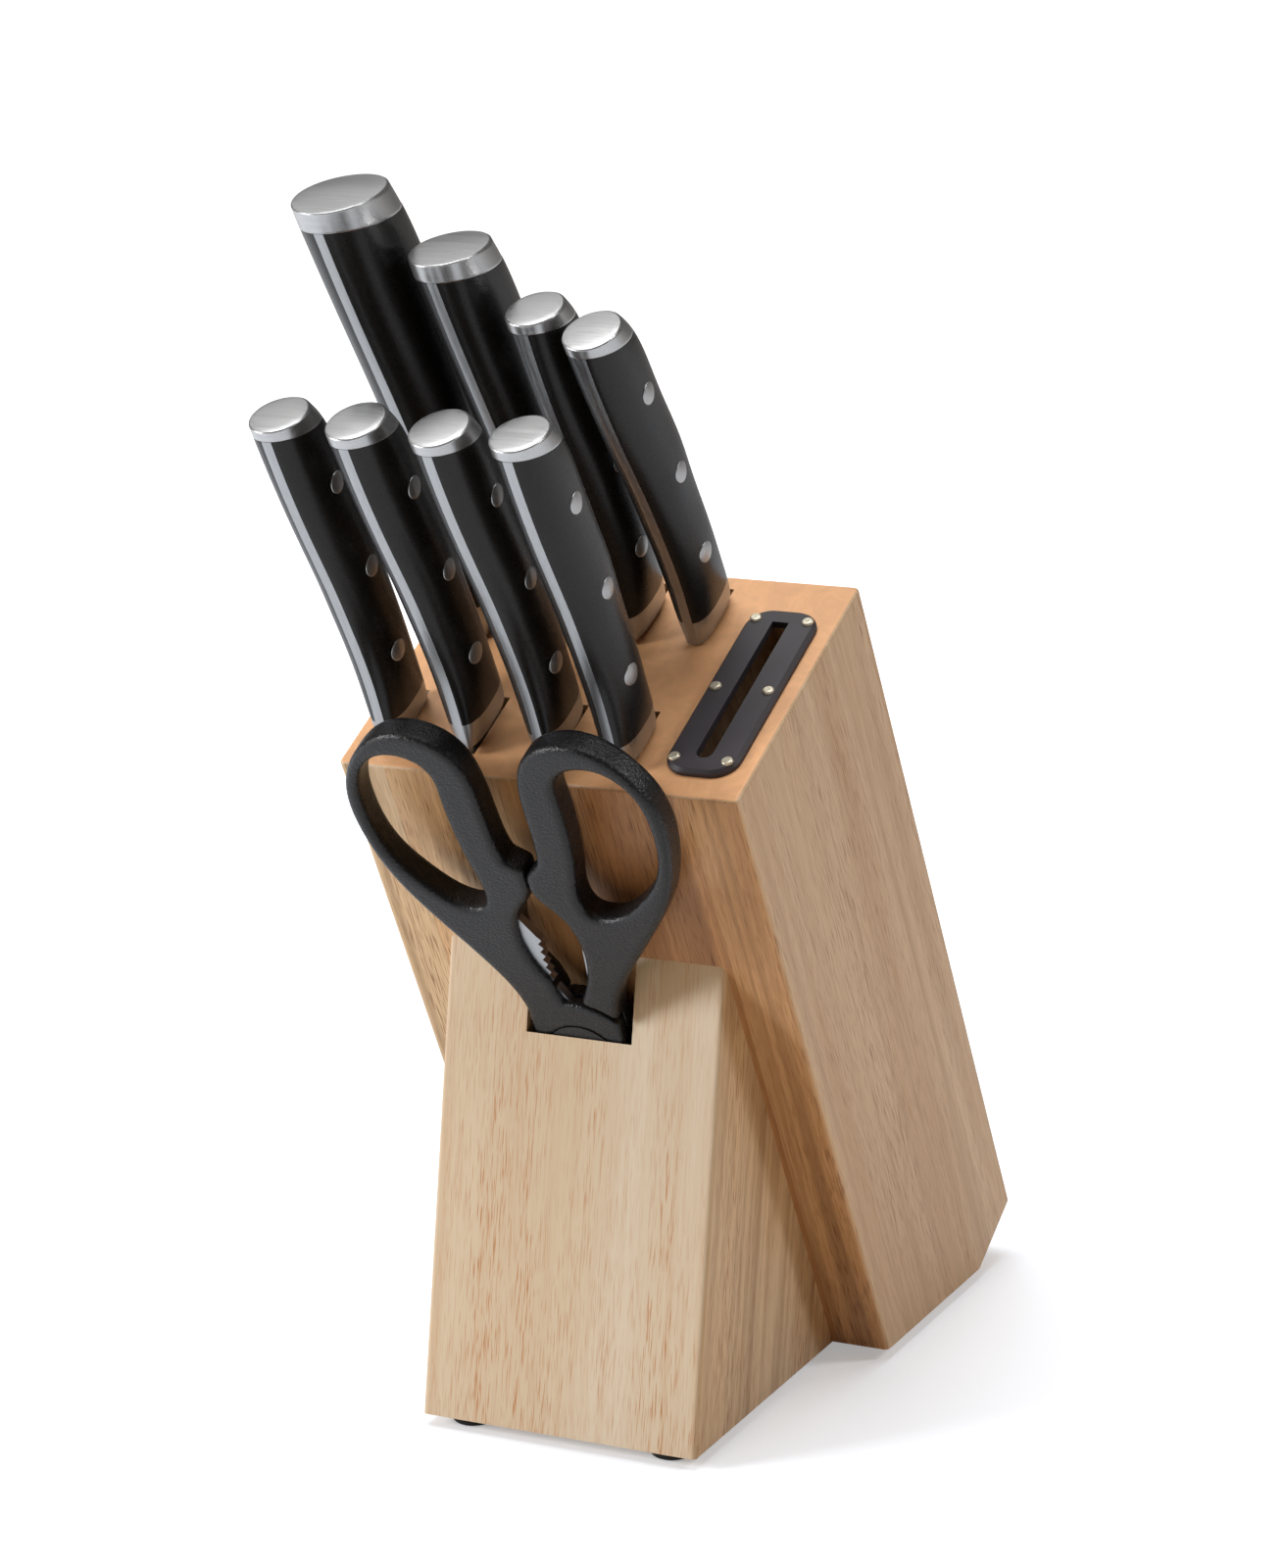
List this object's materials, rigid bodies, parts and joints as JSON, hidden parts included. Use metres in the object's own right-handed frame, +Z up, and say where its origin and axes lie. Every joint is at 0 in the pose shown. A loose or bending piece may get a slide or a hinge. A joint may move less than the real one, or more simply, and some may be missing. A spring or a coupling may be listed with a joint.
{
  "type": "knife block with knives",
  "caption": "Leaning wooden knife block on a wedge foot, filled with full-tang kitchen knives, shears and a built-in sharpener.",
  "frame": {"origin": "on the table, under the middle of the whole object's bounding box", "axes": "+Z up; -Y towards the front, the side the block leans to and the shears are on; +X to the right seen from the front"},
  "size_m": [0.108, 0.2185, 0.317],
  "materials": {
    "board_wood": "satin clear lacquer over pale fine-grained wood",
    "wedge_wood": "satin clear lacquer over pale fine-grained wood",
    "foot_rubber": "matte black",
    "screw_steel": "zinc plated",
    "plate_plastic": "fine matte dark grey",
    "pin_brass": "pale polished",
    "stone": "off-white ceramic",
    "blade_steel": "brushed",
    "cap_steel": "brushed, soft highlight",
    "scale_plastic": "satin black",
    "rivet_steel": "polished",
    "grip_plastic": "finely textured black",
    "bolt_plastic": "satin black"
  },
  "bodies": {
    "block": {"left_cheek": "board_wood", "left_slat": "board_wood", "middle_slat": "board_wood", "right_slat": "board_wood", "sharpener_slat": "board_wood", "right_cheek": "board_wood", "wedge_foot": "wedge_wood", "rubber_feet": "foot_rubber", "foot_screws": "screw_steel", "sharpener_plate": "plate_plastic", "sharpener_pins": "pin_brass", "sharpening_stones": "stone"},
    "steak_knife_1": {"steak_knife_1_blade": "blade_steel", "steak_knife_1_end_cap": "cap_steel", "steak_knife_1_scale_left": "scale_plastic", "steak_knife_1_scale_right": "scale_plastic", "steak_knife_1_rivets": "rivet_steel"},
    "steak_knife_2": {"steak_knife_2_blade": "blade_steel", "steak_knife_2_end_cap": "cap_steel", "steak_knife_2_scale_left": "scale_plastic", "steak_knife_2_scale_right": "scale_plastic", "steak_knife_2_rivets": "rivet_steel"},
    "steak_knife_3": {"steak_knife_3_blade": "blade_steel", "steak_knife_3_end_cap": "cap_steel", "steak_knife_3_scale_left": "scale_plastic", "steak_knife_3_scale_right": "scale_plastic", "steak_knife_3_rivets": "rivet_steel"},
    "steak_knife_4": {"steak_knife_4_blade": "blade_steel", "steak_knife_4_end_cap": "cap_steel", "steak_knife_4_scale_left": "scale_plastic", "steak_knife_4_scale_right": "scale_plastic", "steak_knife_4_rivets": "rivet_steel"},
    "cooks_knife": {"cooks_knife_blade": "blade_steel", "cooks_knife_end_cap": "cap_steel", "cooks_knife_scale_left": "scale_plastic", "cooks_knife_scale_right": "scale_plastic", "cooks_knife_pins": "rivet_steel"},
    "slicing_knife": {"slicing_knife_blade": "blade_steel", "slicing_knife_end_cap": "cap_steel", "slicing_knife_scale_left": "scale_plastic", "slicing_knife_scale_right": "scale_plastic", "slicing_knife_pins": "rivet_steel"},
    "utility_knife": {"utility_knife_blade": "blade_steel", "utility_knife_end_cap": "cap_steel", "utility_knife_scale_left": "scale_plastic", "utility_knife_scale_right": "scale_plastic", "utility_knife_rivets": "rivet_steel"},
    "paring_knife": {"paring_knife_blade": "blade_steel", "paring_knife_end_cap": "cap_steel", "paring_knife_scale_left": "scale_plastic", "paring_knife_scale_right": "scale_plastic", "paring_knife_rivets": "rivet_steel"},
    "shears_left": {"shears_left_blade": "blade_steel", "shears_left_grip": "grip_plastic", "shears_pivot_bolt": "bolt_plastic", "shears_pivot_nut": "screw_steel"},
    "shears_right": {"shears_right_blade": "blade_steel", "shears_right_grip": "grip_plastic"}
  },
  "joints": [
    {"name": "steak_knife_1_draw", "type": "slide", "parent": "block", "child": "steak_knife_1", "axis": [0, -0.4446, 0.8957], "range_m": [0, 0.13]},
    {"name": "steak_knife_2_draw", "type": "slide", "parent": "block", "child": "steak_knife_2", "axis": [0, -0.4679, 0.8838], "range_m": [0, 0.13]},
    {"name": "steak_knife_3_draw", "type": "slide", "parent": "block", "child": "steak_knife_3", "axis": [0, -0.4648, 0.8854], "range_m": [0, 0.13]},
    {"name": "steak_knife_4_draw", "type": "slide", "parent": "block", "child": "steak_knife_4", "axis": [0, -0.4446, 0.8957], "range_m": [0, 0.13]},
    {"name": "cooks_knife_draw", "type": "slide", "parent": "block", "child": "cooks_knife", "axis": [0, -0.4446, 0.8957], "range_m": [0, 0.215]},
    {"name": "slicing_knife_draw", "type": "slide", "parent": "block", "child": "slicing_knife", "axis": [0, -0.4446, 0.8957], "range_m": [0, 0.215]},
    {"name": "utility_knife_draw", "type": "slide", "parent": "block", "child": "utility_knife", "axis": [0, -0.4446, 0.8957], "range_m": [0, 0.145]},
    {"name": "paring_knife_draw", "type": "slide", "parent": "block", "child": "paring_knife", "axis": [0, -0.5135, 0.8581], "range_m": [0, 0.1]},
    {"name": "shears_draw", "type": "slide", "parent": "block", "child": "shears_left", "axis": [0, -0.4446, 0.8957], "range_m": [0, 0.135]},
    {"name": "shears_pivot", "type": "hinge", "parent": "shears_left", "child": "shears_right", "pos_m": [-0.0005, -0.033, 0.09822], "axis": [0, 0.8957, 0.4446], "range_deg": [0, 4]}
  ]
}
